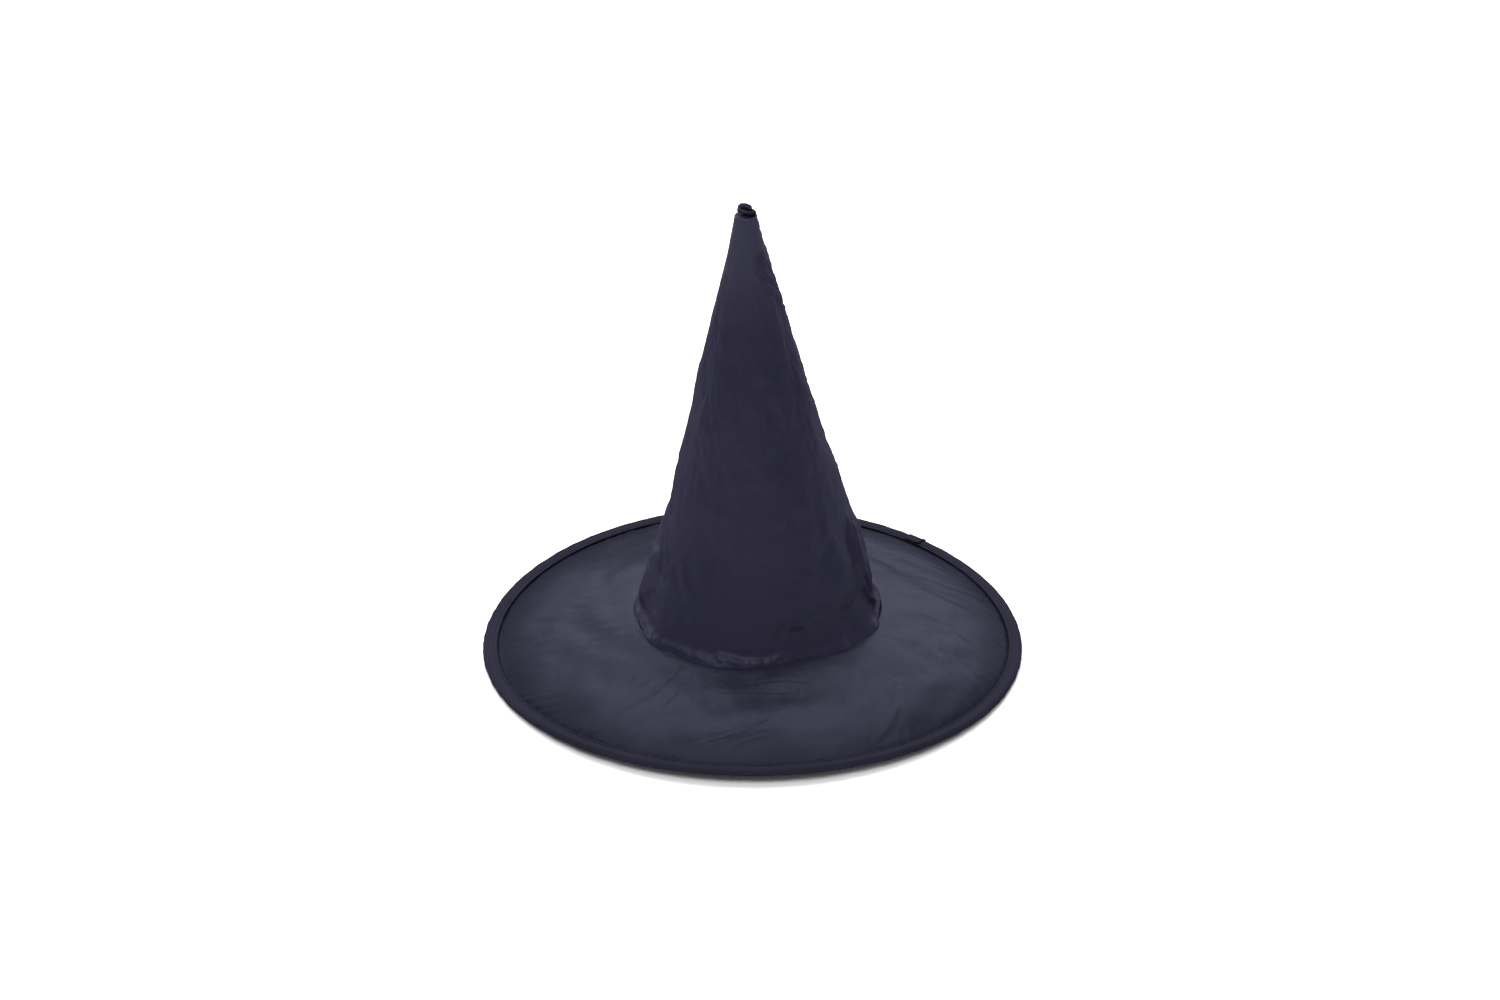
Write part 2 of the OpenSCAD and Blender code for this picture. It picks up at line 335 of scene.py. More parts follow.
brim_interlining = turned(
    "brim_felt_ring",
    [
        (ply_in_r, brim_level(ply_in_r, -ply_felt)),
        (ply_out_r, brim_level(ply_out_r, -ply_felt)),
        (ply_out_r, brim_level(ply_out_r, ply_felt - 0.5)),
        (ply_in_r, brim_level(ply_in_r, ply_felt - 0.5)),
    ],
    240,
    16,
    closed=True,
)
r, azimuth, z = round_places(points_of(brim_interlining))
upper = z > brim_level(r, -0.2)
z = brim_level(r, -ply_felt) + np.where(upper, 0.45, -0.1) + np.minimum(brim_slack(azimuth, r), 0)
cut_map(brim_interlining, ring_cut)
move_to(brim_interlining, settle(r, azimuth, z))

brim_under_cloth = turned(
    "brim_under_satin",
    [(r, brim_level(r, -ply_top)) for r in (ply_in_r, ply_out_r)],
    480,
    60,
)
face_towards(brim_under_cloth, lambda c: np.array((0, 0, -1)))
r, azimuth, z = round_places(points_of(brim_under_cloth))
free = np.sin(np.pi * np.clip((r - seam_r) / (tape_in_r - seam_r), 0.02, 0.98)) ** 0.6
z = (
    brim_level(r, -ply_top)
    - 1.1
    + np.minimum(brim_slack(azimuth, r), 0)
    + free * (0.35 * slack(azimuth, r, 26, 50, 21) + 0.12 * slack(azimuth, r, 7, 40, 22))
)
cut_map(brim_under_cloth, ring_cut)
move_to(brim_under_cloth, settle(r, azimuth, z))


class Value:
    """A number that changes over a surface. Arithmetic on it adds Math nodes."""

    def __init__(self, finish, socket):
        self.finish, self.socket = finish, socket

    def _math(self, operation, *terms):
        return self.finish.value(
            "ShaderNodeMath", {"operation": operation}, dict(enumerate(terms))
        )

    def __add__(self, other):
        return self._math("ADD", self, other)

    def __sub__(self, other):
        return self._math("SUBTRACT", self, other)

    def __rsub__(self, other):
        return self._math("SUBTRACT", other, self)

    def __mul__(self, other):
        return self._math("MULTIPLY", self, other)

    def length(self):
        return self.finish.value("ShaderNodeVectorMath", {"operation": "LENGTH"}, {0: self}, 1)

    def part(self, axis):
        """One coordinate of a place."""
        return self.finish.value("ShaderNodeSeparateXYZ", {}, {0: self}, axis)

    def between(self, low, high):
        """0 below low, 1 above high, and smooth from one to the other."""
        return self.finish.value(
            "ShaderNodeMapRange",
            {"interpolation_type": "SMOOTHSTEP"},
            {"Value": self, "From Min": low, "From Max": high},
        )

    __radd__, __rmul__ = __add__, __mul__


class Finish:
    """One material, built node by node round its shader."""

    def __init__(self, name, **constants):
        self.material = bpy.data.materials.new(name)
        self.material.use_nodes = True
        self.nodes = self.material.node_tree.nodes
        self.links = self.material.node_tree.links
        self.nodes.clear()
        self.shader = self.node("ShaderNodeBsdfPrincipled", {}, {})
        for key, number in constants.items():
            socket = key.replace("_", " ").title().replace("Ior", "IOR")
            self.shader.inputs[socket].default_value = number
        self.output = self.node("ShaderNodeOutputMaterial", {}, {})
        self.links.new(self.shader.outputs[0], self.output.inputs[0])
        self.gloss = None

    def add_gloss(self, share, colour):
        """Lays a second shader over the first: a gloss that hardly whitens at low angles,
        as on round threads."""
        self.gloss = self.node(
            "ShaderNodeBsdfPrincipled", {}, {"Base Color": colour, "Metallic": 1.0}
        )
        self.both = self.node("ShaderNodeMixShader", {}, {0: share})
        self.links.new(self.shader.outputs[0], self.both.inputs[1])
        self.links.new(self.gloss.outputs[0], self.both.inputs[2])
        self.links.new(self.both.outputs[0], self.output.inputs[0])

    def node(self, kind, settings, sockets):
        made = self.nodes.new(kind)
        for key, choice in settings.items():
            setattr(made, key, choice)
        for key, source in sockets.items():
            if isinstance(source, Value):
                self.links.new(source.socket, made.inputs[key])
            else:
                made.inputs[key].default_value = source
        return made

    def value(self, kind, settings, sockets, output=0):
        return Value(self, self.node(kind, settings, sockets).outputs[output])

    def cut_place(self, along=1.0, across=1.0, turn=0.0, move=(0, 0)):
        """A place on the flat cut, stretched by along and across and moved by move."""
        place = self.value("ShaderNodeUVMap", {"uv_map": "cut"}, {})
        return self.value(
            "ShaderNodeMapping",
            {},
            {
                "Vector": place,
                "Scale": (along, across, 1),
                "Rotation": (0, 0, turn),
                "Location": (*move, 0),
            },
        )

    def reach(self):
        """Distance on the flat cut from its centre."""
        return self.cut_place().length()

    def noise(self, place, scale, detail=2.0, roughness=0.5):
        return self.value(
            "ShaderNodeTexNoise",
            {},
            {"Vector": place, "Scale": scale, "Detail": detail, "Roughness": roughness},
        )

    def mix(self, amount, first, second):
        return self.value(
            "ShaderNodeMix", {"data_type": "RGBA"}, {0: amount, 6: first, 7: second}, 2
        )

    def wire(self, name, source):
        self.links.new(source.socket, self.shader.inputs[name])
        if self.gloss and name in ("Roughness", "Normal"):
            self.links.new(source.socket, self.gloss.inputs[name])

    def relief(self, *layers):
        """Bump nodes one after another: each layer is a height and its depth in mm."""
        last = None
        for height, depth in layers:
            sockets = {"Height": height, "Distance": depth * mm, "Strength": 1.0}
            if last is not None:
                sockets["Normal"] = last
            last = self.value("ShaderNodeBump", {}, sockets)
        self.wire("Normal", last)


def shade(red, green, blue):
    """A colour from its usual 0 to 255 values."""

    def linear(level):
        level /= 255
        return level / 12.92 if level < 0.04045 else ((level + 0.055) / 1.055) ** 2.4

    return linear(red), linear(green), linear(blue), 1.0


def satin(name, deep, pale, gloss=0.05, painted_light=None):
    """Thin polyester satin: fine warp threads that catch the light, faint weft bars, soft
    cloudy tone and small press marks from folding. Its gloss comes from round threads, so
    it keeps the cloth's own tint and doesn't whiten at a low angle."""
    cloth = Finish(name, specular_ior_level=0.0)
    cloth.add_gloss(gloss, (0.22, 0.218, 0.32, 1))
    cloud = cloth.noise(cloth.cut_place(), 14, 3.0)
    streak = cloth.noise(cloth.cut_place(1.0, 0.06), 900, 1.0)
    tone = cloud.between(0.3, 0.7) * 0.6 + streak * 0.4
    dye = cloth.mix(tone, deep, pale)
    # painted_light, where given, lays painted light over the dye and changes the gloss share with
    # it: painted shade near the brim's hoop, a painted highlight near the crown's point
    if painted_light:
        amount, painted_colour, painted_gloss = painted_light(cloth)
        dye = cloth.mix(amount, dye, painted_colour)
        cloth.links.new((gloss + (painted_gloss - gloss) * amount).socket, cloth.both.inputs[0])
    cloth.wire("Base Color", dye)
    cloth.wire("Roughness", 0.34 + 0.08 * cloud + 0.05 * streak)
    weave = cloth.value(
        "ShaderNodeTexWave",
        {"wave_type": "BANDS", "bands_direction": "X"},
        {"Vector": cloth.cut_place(), "Scale": 800.0, "Distortion": 0.3},
        1,
    ) * cloth.value(
        "ShaderNodeTexWave",
        {"wave_type": "BANDS", "bands_direction": "Y"},
        {"Vector": cloth.cut_place(), "Scale": 500.0, "Distortion": 0.3},
        1,
    )
    rumple = cloth.noise(cloth.cut_place(), 75, 3.0, 0.55)
    press = cloth.noise(cloth.cut_place(1.0, 0.35, 0.5), 190, 2.0)
    cloth.relief((weave, 0.02), (rumple, 0.55), (press, 0.10))
    return cloth.material


def felt(name, deep, pale):
    """Pressed fibres with no direction, dull and slightly hairy."""
    cloth = Finish(name, specular_ior_level=0.15, sheen_weight=0.2, sheen_roughness=0.8)
    fibre = cloth.noise(cloth.cut_place(), 1400, 4.0, 0.7)
    cloud = cloth.noise(cloth.cut_place(), 60, 2.0)
    cloth.wire("Base Color", cloth.mix(0.5 * fibre + 0.5 * cloud, deep, pale))
    cloth.wire("Roughness", 0.8 + 0.15 * fibre)
    cloth.relief((fibre, 0.12), (cloud, 0.3))
    return cloth.material


def painted_rim_shade(cloth):
    """Painted shade on the brim: its cloth is painted darker and less glossy in a band at the hoop
    and in one patch at its left back.
    """
    reach = cloth.reach() + 0.03 * (cloth.noise(cloth.cut_place(), 22) - 0.5)
    # Painted shade in a ragged band at the hoop
    gathered = 0.85 * reach.between(0.138, 0.184)
    shade_patch_gap = cloth.cut_place(1.0, 1.0, 0.0, (0.095, -0.118)).length()
    # A patch of painted shade at the brim's left back
    dull = 0.6 * (1 - shade_patch_gap.between(0.02, 0.075))
    return 1 - (1 - gathered) * (1 - dull), shade(19, 19, 29), 0.018


brim_satin = satin("brim_satin", shade(25, 25, 36), shade(31, 31, 43), painted_light=painted_rim_shade)
brim_felt = felt("brim_felt", shade(38, 38, 42), shade(52, 52, 57))
brim_top_cloth.data.materials.append(brim_satin)
brim_under_cloth.data.materials.append(brim_satin)
brim_interlining.data.materials.append(brim_felt)

for ply, node, finish in (
    (brim_top_cloth, "brim_top_cloth", "satin"),
    (brim_interlining, "brim_interlining", "felt"),
    (brim_under_cloth, "brim_under_cloth", "satin"),
):
    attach(ply, "hat_base")
    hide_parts(node)

# ---- Hoop and its sleeve --------------------------------------------------------------------
# A round rod of springy plastic, bent into a ring. Its two ends meet in a short sleeve. It
# lies loose in the fold of the edge tape and holds the brim out.
rod = [
    (hoop_r + hoop_d / 2 * math.cos(a), hoop_z + hoop_d / 2 * math.sin(a))
    for a in np.linspace(0, 2 * math.pi, 12, endpoint=False)
]
rim_hoop = turned("hoop_rod", rod, 240, closed=True)
move_to(rim_hoop, settle(*round_places(points_of(rim_hoop))))

sleeve_r, sleeve_wall, sleeve_l, joint_azimuth = 1.33, 0.45, 24.0, 140.0


def stretch_of_ring(name, section, azimuth, length, radius, steps):
    """Part of a ring piece, length mm long at radius and centred on azimuth."""
    sweep = length / radius
    start = math.radians(azimuth) - sweep / 2
    part = bmesh.new()
    points = [
        part.verts.new((r * mm * math.cos(start), r * mm * math.sin(start), z * mm))
        for r, z in section
    ]
    face = part.faces.new(points)
    bmesh.ops.spin(
        part,
        geom=[face],
        cent=(0, 0, 0),
        axis=(0, 0, 1),
        angle=sweep,
        steps=steps,
        use_merge=False,
        use_duplicate=False,
    )
    bmesh.ops.remove_doubles(part, verts=part.verts, dist=1e-7)
    bmesh.ops.recalc_face_normals(part, faces=part.faces)
    return placed(name, part)


turns = np.linspace(0, 2 * math.pi, 16, endpoint=False)
sleeve_section = [
    (
        hoop_r + (sleeve_r + sleeve_wall) * math.cos(a),
        hoop_z + (sleeve_r + sleeve_wall) * math.sin(a),
    )
    for a in turns
]
rim_hoop_sleeve = stretch_of_ring(
    "hoop_sleeve", sleeve_section, joint_azimuth, sleeve_l, hoop_r, 12
)
move_to(rim_hoop_sleeve, settle(*round_places(points_of(rim_hoop_sleeve))))


def moulded(name, deep, pale):
    """Extruded milky plastic: faint die lines and a dull gloss."""
    plastic = Finish(name, specular_ior_level=0.45)
    place = plastic.value("ShaderNodeTexCoord", {}, {}, 3)
    cloud = plastic.noise(place, 60, 2.0)
    grain = plastic.noise(place, 1500, 2.0)
    plastic.wire("Base Color", plastic.mix(cloud, deep, pale))
    plastic.wire("Roughness", 0.35 + 0.2 * cloud)
    plastic.relief((grain, 0.02))
    return plastic.material


hoop_plastic = moulded("hoop_plastic", shade(214, 211, 200), shade(228, 226, 218))
for piece, node in ((rim_hoop, "rim_hoop"), (rim_hoop_sleeve, "rim_hoop_sleeve")):
    piece.data.materials.append(hoop_plastic)
    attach(piece, "hat_base")
    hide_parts(node)

# ---- Edge tape, its lap and its stitches ----------------------------------------------------
# A strip of the same satin cut on the bias, folded round the hoop and the brim's edge. One
# row of stitches near its inner edge goes through all of it and draws a narrow groove. The
# strip's finishing end is folded under and laps its start at the back right.
tape_t = 0.5
tube_r = 2.4
stitch_r = 182.2


def tape_section(extra=0.0):
    """Outside of the folded tape, from its upper inner edge round to its lower one."""
    top = [
        (tape_in_r, ply_top + 0.20),
        (tape_in_r + 0.25, ply_top + 0.62),
        (tape_in_r + 0.8, ply_top + 0.55),
        (stitch_r, ply_top + 0.12),
        (stitch_r + 0.7, ply_top + 0.50),
        (stitch_r + 1.7, ply_top + 0.95),
        (stitch_r + 2.8, ply_top + 1.15),
    ]
    upper = [(r, float(brim_level(r, off + extra))) for r, off in top]
    lower = [(r, float(brim_level(r, -off - extra - 0.15))) for r, off in top[::-1]]
    round_tube = [
        (
            hoop_r + (tube_r + extra) * math.cos(a),
            hoop_z + (tube_r + extra) * math.sin(a),
        )
        for a in np.radians(np.linspace(112, -118, 20))
    ]
    return upper + round_tube + lower


def thick(section, wall):
    """A closed section: the given outline and the same outline drawn in by wall."""
    outline = np.array(section)
    way = np.gradient(outline, axis=0)
    way /= np.linalg.norm(way, axis=1)[:, None]
    inner = outline - wall * np.stack([-way[:, 1], way[:, 0]], axis=1)
    return [tuple(p) for p in outline] + [tuple(p) for p in inner[::-1]]


def pucker(azimuth, r, z):
    """Small uneven drawing-in of the tape along its stitches, fading towards the hoop."""
    near = np.exp(-np.abs(r - stitch_r - 0.4) / 1.5)
    lumps = slack(azimuth, r, 1.5, 30, 31, 90)
    broad = slack(azimuth, r, 12, 60, 32)
    side = np.where(z > brim_level(r), 1.0, -1.0)
    return side * near * (0.16 * lumps + 0.10 * broad)


def on_brim(r, azimuth, z):
    """The tape lies on the brim, so its inner edge falls as the brim does."""
    return settle(r, azimuth, z + pucker(azimuth, r, z) - 0.8 * rim_droop(r))


rim_tape = turned("edge_tape", thick(tape_section(), -tape_t), 720, closed=True)
r, azimuth, z = round_places(points_of(rim_tape))


def strip_cut(turn, radius, level):
    """The bias strip: its length round the rim, and its width round the fold."""
    around = np.hypot(radius - hoop_r, level - hoop_z)
    return np.radians(turn) * rim_r, np.where(level > hoop_z, around, -around)


cut_map(rim_tape, strip_cut)
puff = 0.12 * slack(azimuth, r, 5, 60, 33, 70) * (r > stitch_r + 2)
move_to(rim_tape, on_brim(r + puff, azimuth, np.maximum(z, 0.0)))

lap_azimuth, lap_l, lap_t = 50.0, 13.0, 0.45
# The lap lies over the tape, from its upper edge to a little past the hoop's outer side
lap_over, lap_corners = 0.62, 21
rim_tape_lap = stretch_of_ring(
    "edge_tape_lap",
    thick(tape_section(lap_over)[:lap_corners], -lap_t),
    lap_azimuth,
    lap_l,
    rim_r,
    14,
)
r, azimuth, z = round_places(points_of(rim_tape_lap))
# The corner of the folded end stands up a little
raised = 0.5 * np.clip(-turn_gap(azimuth, lap_azimuth) - 1.0, 0, 1)
cut_map(rim_tape_lap, strip_cut)
r = r + 0.7 * raised * (r > hoop_r)
z = np.maximum(z, 0.3) + 0.9 * raised * (z > hoop_z)
move_to(rim_tape_lap, settle(r, azimuth, z))

tape_satin = satin("tape_satin", shade(30, 30, 40), shade(36, 35, 47), gloss=0.005)
for piece, node in ((rim_tape, "rim_tape"), (rim_tape_lap, "rim_tape_lap")):
    piece.data.materials.append(tape_satin)
    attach(piece, "hat_base")
    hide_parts(node)


def stitch_row(name, count, length, thick_mm, place):
    """A row of single stitches: small rounded bars, each set down by place(index), which
    gives its middle and its two directions."""
    row = bmesh.new()
    for index in range(count):
        middle, ahead, up = place(index)
        bar = bmesh.ops.create_cube(row, size=1.0)["verts"]
        across = ahead.cross(up)
        for vert in bar:
            bulge = 1.0 if abs(vert.co.x) < 0.1 else 0.62
            vert.co = (
                middle
                + ahead * vert.co.x * length
                + across * vert.co.y * thick_mm * bulge
                + up * (vert.co.z * thick_mm * bulge - abs(vert.co.x) * 0.25)
            )
    bmesh.ops.bevel(
        row,
        geom=row.edges[:],
        affect="EDGES",
        offset=thick_mm * 0.16,
        segments=1,
        profile=0.5,
        material=-1,
    )
    bmesh.ops.scale(row, vec=(mm, mm, mm), verts=row.verts)
    return placed(name, row)


stitch_pitch = 3.2
stitches_round = int(2 * math.pi * stitch_r / stitch_pitch)


def rim_stitch(index):
    """Stitches above and below the brim, in turn round the rim."""
    side = 1 if index < stitches_round else -1
    azimuth = 360.0 * (index % stitches_round) / stitches_round
    off = side * (ply_top + 0.30) - (0.15 if side < 0 else 0)
    level = float(brim_level(stitch_r, off))

    def at(turn):
        return Vector(settle(np.array([stitch_r]), np.array([turn]), np.array([level]))[0])

    middle = at(azimuth)
    ahead = (at(azimuth + 0.4) - at(azimuth - 0.4)).normalized()
    return middle, ahead, Vector((0, 0, side))


rim_thread = stitch_row("edge_stitches", 2 * stitches_round, 2.5, 0.5, rim_stitch)


def thread(name, deep, pale):
    """Spun polyester thread: two plies twisted round each other, with a dull shine."""
    spun = Finish(name, specular_ior_level=0.12)
    place = spun.value("ShaderNodeTexCoord", {}, {}, 3)
    twist = spun.value(
        "ShaderNodeTexWave",
        {"wave_type": "BANDS", "bands_direction": "DIAGONAL"},
        {"Vector": place, "Scale": 900.0, "Distortion": 0.6},
        1,
    )
    spun.wire("Base Color", spun.mix(twist, deep, pale))
    spun.wire("Roughness", 0.5 + 0.2 * twist)
    spun.relief((twist, 0.06))
    return spun.material


black_thread = thread("black_thread", shade(10, 10, 16), shade(22, 21, 31))
rim_thread.data.materials.append(black_thread)
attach(rim_thread, "hat_base")
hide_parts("rim_thread")

# ---- Head seam: turned edges, their tape and their stitches ---------------------------------
# Crown and brim are sewn together edge to edge. The turned edges hang down inside, wrapped
# in a folded tape that rests against the wearer's head, and one row of stitches holds it.
bundle_r, allowance_t = 86.53, 2.1
band_in_r, band_out_r = 85.93, 89.23
band_bottom, band_top = 20.69, 29.4

head_seam_allowance = turned(
    "turned_edges",
    [
        (bundle_r, band_bottom + 0.7),
        (bundle_r + allowance_t, band_bottom + 0.7),
        (bundle_r + allowance_t, band_top + 0.4),
        (bundle_r, band_top + 1.6),
    ],
    240,
    4,
    closed=True,
)
cut_map(head_seam_allowance, lambda turn, radius, level: (np.radians(turn) * seam_r, level))
r, azimuth, z = round_places(points_of(head_seam_allowance))
move_to(head_seam_allowance, settle(r, azimuth, z))

band = [
    (band_in_r, band_top),
    (band_in_r - 0.05, band_top - 4),
    (band_in_r, band_bottom + 1.2),
    (band_in_r + 0.5, band_bottom + 0.3),
    (band_in_r + 1.6, band_bottom),
    (band_out_r - 0.5, band_bottom + 0.3),
    (band_out_r, band_bottom + 1.2),
    (band_out_r + 0.05, band_top - 4),
    (band_out_r, band_top),
]
head_seam_tape = turned("head_band", thick(band, 0.5), 480, closed=True)
cut_map(
    head_seam_tape,
    lambda turn, radius, level: (
        np.radians(turn) * seam_r,
        np.where(radius > 87.5, level - band_bottom, band_bottom - level),
    ),
)
r, azimuth, z = round_places(points_of(head_seam_tape))
soft = 0.22 * slack(azimuth, z, 2.4, 30, 41, 80) + 0.2 * slack(azimuth, z, 15, 40, 42)
move_to(head_seam_tape, settle(r + soft * 0.6, azimuth, z + 0.5 * soft * (z < 25)))

band_stitch_z = band_top - 3.0
band_stitches = int(2 * math.pi * seam_r / stitch_pitch)


def band_stitch(index):
    """Stitches on the head band, inside and outside in turn."""
    side = 1 if index < band_stitches else -1
    azimuth = 360.0 * (index % band_stitches) / band_stitches
    radius = band_out_r + 0.3 if side > 0 else band_in_r - 0.3

    def at(turn):
        return Vector(
            settle(np.array([radius]), np.array([turn]), np.array([band_stitch_z]))[0]
        )

    out = Vector((math.cos(math.radians(azimuth)), math.sin(math.radians(azimuth)), 0))
    return at(azimuth), (at(azimuth + 0.6) - at(azimuth - 0.6)).normalized(), out * side


head_seam_thread = stitch_row("band_stitches", 2 * band_stitches, 2.5, 0.5, band_stitch)

head_seam_allowance.data.materials.append(brim_satin)
head_seam_tape.data.materials.append(tape_satin)
head_seam_thread.data.materials.append(black_thread)
for piece, node, finish in (
    (head_seam_allowance, "head_seam_allowance", "satin"),
    (head_seam_tape, "head_seam_tape", "tape"),
    (head_seam_thread, "head_seam_thread", "thread"),
):
    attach(piece, "hat_base")
    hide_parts(node)

# ---- Crown: satin, interfacing and seam allowance -------------------------------------------
# One quarter disc of satin, backed by soft non-woven interfacing and sewn up into a cone
# with its seam at the right. Its foot spreads into the head seam. The cloth stands by its
# stiffness, so it shows long soft folds, a tuck at the right and a flared panel at the left.
crown_foot, crown_top, flare_z = 31.0, 331.4, 41.0
cone_low_r, shoulder_r = 81.2, 6.7
cone_slope = (cone_low_r - shoulder_r) / (crown_top - flare_z)
cone_half_angle = math.atan(cone_slope)


def crown_radius(z):
    """Radius of the crown's outside at height z, before its folds."""
    line = cone_low_r - (z - flare_z) * cone_slope
    return line + 4.6 * np.exp(-(z - brim_rise) / 7.0) + np.exp(-(crown_top - z) / 14)


# Runs of the crown's folds: (azimuth, height), half width, height, kind
crown_folds = [
    # the tuck at the right: an edge that stands out, the hollow behind it, the panel beyond
    ([(-10, 112), (-17, 95), (-21, 79), (-21, 63), (-17, 51), (-9, 42), (0, 35)], 2.0, 4.0, "ridge"),
    ([(0, 106), (-7, 88), (-11, 75), (-11, 61), (-7, 49), (1, 40), (8, 34.5)], 3.4, -6.0, "ridge"),
    ([(12, 104), (7, 86), (4, 68), (7, 52), (14, 41)], 4.4, 2.6, "ridge"),
    # the flared panel at the left and the crease beside it
    ([(-166, 140), (-170, 116), (-163, 94), (-155, 80), (-147, 64)], 3.2, 1.0, "ridge"),
    ([(-177, 112), (-171, 96), (-163, 80), (-154, 64)], 3.6, -1.6, "ridge"),
    ([(-174, 84), (-178, 60), (-176, 38)], 13.0, 2.8, "ridge"),
    # soft folds of the front
    ([(-146, 92), (-134, 70), (-124, 54)], 5.0, 0.8, "pleat"),
    ([(-72, 66), (-76, 54), (-82, 42)], 4.0, 0.5, "pleat"),
    ([(-62, 60), (-58, 48)], 5.5, -0.3, "ridge"),
    ([(-48, 66), (-46, 52), (-50, 42)], 4.5, 0.45, "pleat"),
    ([(-40, 150), (-44, 110), (-40, 70)], 7.0, 1.2, "pleat"),
    ([(-106, 123), (-88, 124), (-68, 122)], 1.1, 0.16, "pleat"),
    ([(-98, 119), (-84, 118.5), (-72, 119)], 0.9, 0.12, "pleat"),
    ([(-118, 104), (-100, 110), (-88, 106)], 5.0, 0.5, "ridge"),
    ([(-112, 150), (-98, 158), (-88, 154)], 6.0, 0.45, "ridge"),
    ([(-140, 170), (-128, 150), (-118, 120)], 8.0, 0.8, "pleat"),
    ([(-70, 220), (-60, 190), (-56, 150)], 6.0, 0.7, "pleat"),
    ([(-100, 232), (-84, 222), (-66, 226)], 5.0, 0.5, "pleat"),
    # kinks in the left outline
    ([(170, 230), (-172, 225), (-150, 228)], 4.5, -1.0, "ridge"),
    ([(172, 114), (-176, 111), (-160, 116)], 5.0, -0.8, "ridge"),
    ([(178, 296), (-170, 294), (-150, 297)], 4.0, -0.7, "ridge"),
    # pinches beside the seam near the tip
    ([(-62, 297), (-42, 292), (-20, 284)], 2.0, 1.0, "pleat"),
    ([(-54, 287), (-36, 281), (-18, 273)], 2.0, 1.0, "pleat"),
    ([(-52, 306), (-34, 301), (-16, 296)], 1.8, 0.75, "pleat"),
    ([(20, 290), (34, 282), (50, 280)], 2.4, 0.6, "pleat"),
    ([(-70, 325), (-36, 322), (0, 324)], 1.1, 0.6, "pleat"),
    ([(-110, 320), (-80, 317), (-40, 318)], 1.2, 0.4, "pleat"),
    # folds of the back, like those of the front
    ([(96, 150), (104, 100), (100, 56)], 7.0, 1.3, "pleat"),
    ([(130, 120), (124, 84), (132, 50)], 6.0, 1.2, "pleat"),
    ([(60, 130), (54, 90), (60, 52)], 6.0, 1.1, "pleat"),
    ([(84, 210), (96, 190), (108, 196)], 5.0, 0.7, "pleat"),
    ([(30, 110), (26, 80), (32, 48)], 5.0, -1.4, "ridge"),
]


def crown_fold_height(azimuth, z):
    """How far the crown's cloth stands out of its plain cone."""
    radius = crown_radius(z)
    low = np.clip((150 - z) / 118, 0, 1)
    height = (0.55 + 0.5 * low) * slack(azimuth, z, 60, 110, 51)
    height = height * np.clip(radius / 40, 0.2, 1)
    height += 0.22 * slack(azimuth, z, 24, 30, 52) * np.clip(radius / 40, 0.15, 1)
    height += 0.13 * slack(azimuth, z, 14, 17, 56) * np.clip(radius / 40, 0.1, 1)
    for line, width, tall, kind in crown_folds:
        reach = float(crown_radius(np.mean([level for _, level in line])))
        height += crease(azimuth, z, line, width, tall, kind, reach)
    # The cloth rolls over the head seam, most at the front left
    roll = 0.12 + 0.62 * hump(turn_gap(azimuth, -113), 33, 4)
    uneven = 1 + 0.55 * slack(azimuth, z * 0.1, 6.5, 60, 53)
    top = 35.6 + 0.8 * slack(azimuth, z * 0.05, 9, 80, 54)
    height += 1.3 * roll * uneven * hump(z - top + 0.6, 1.7)
    height -= 1.3 * roll * hump(z - top - 3.6, 2.6)
    height -= 0.8 * np.exp(-(z - crown_foot) / 0.6)
    # The sewn seam is drawn in a little and puckers
    beside = turn_gap(azimuth, 2.0) * np.radians(1) * radius
    seam_pull = np.exp(-np.abs(beside) / 1.1)
    above_foot = np.clip((z - 60) / 30, 0, 1)
    height -= 0.55 * seam_pull * above_foot
    height += 0.30 * hump(beside, 4.0) * slack(azimuth * 0.05, z, 30, 9, 55) * above_foot
    return height


def crown_ply(name, columns, rows, inset, spread):
    """A ply of the crown: a plain cone in rows, moved out to the folds and inset mm in from
    the outside. spread packs the rows closer at the foot."""
    ply = turned(
        name, [(crown_radius(crown_foot), crown_foot), (shoulder_r, crown_top)], columns, rows
    )
    _, azimuth, z = round_places(points_of(ply))
    t = (z - crown_foot) / (crown_top - crown_foot)
    z = crown_foot + (crown_top - crown_foot) * ((1 - spread) * t + spread * t * t)
    height = crown_fold_height(azimuth, z) - inset
    r = crown_radius(z) + height * math.cos(cone_half_angle)
    plain_r, turn = crown_radius(z), np.radians(azimuth)
    move_to(ply, np.stack([plain_r * np.cos(turn), plain_r * np.sin(turn), z], axis=1))
    cut_map(ply, cone_cut)
    move_to(ply, settle(r, azimuth, z + height * math.sin(cone_half_angle)))
    return ply


def cone_cut(turn, radius, level):
    """The cone rolled out flat: a sector about the cone's point."""
    slant = (crown_top - level) / math.cos(cone_half_angle) + shoulder_r / math.sin(
        cone_half_angle
    )
    turn = np.radians(turn) * math.sin(cone_half_angle)
    return slant * np.cos(turn), slant * np.sin(turn)


crown_cloth = crown_ply("crown_satin", 360, 249, 0.0, 0.42)


def outwards(centre):
    return centre * np.array((1, 1, 0))


face_towards(crown_cloth, outwards)
crown_interfacing = crown_ply("crown_backing", 240, 120, 0.75, 0.42)
face_towards(crown_interfacing, lambda c: -outwards(c))


# Spots of painted shade in the depths of the pinches: azimuth, height, reach in metres
pinches = [
    (314, 304, 0.009),
    (318, 296, 0.012),
    (332, 290, 0.010),
    (340, 283, 0.009),
    (320, 281, 0.007),
    (336, 273, 0.009),
]


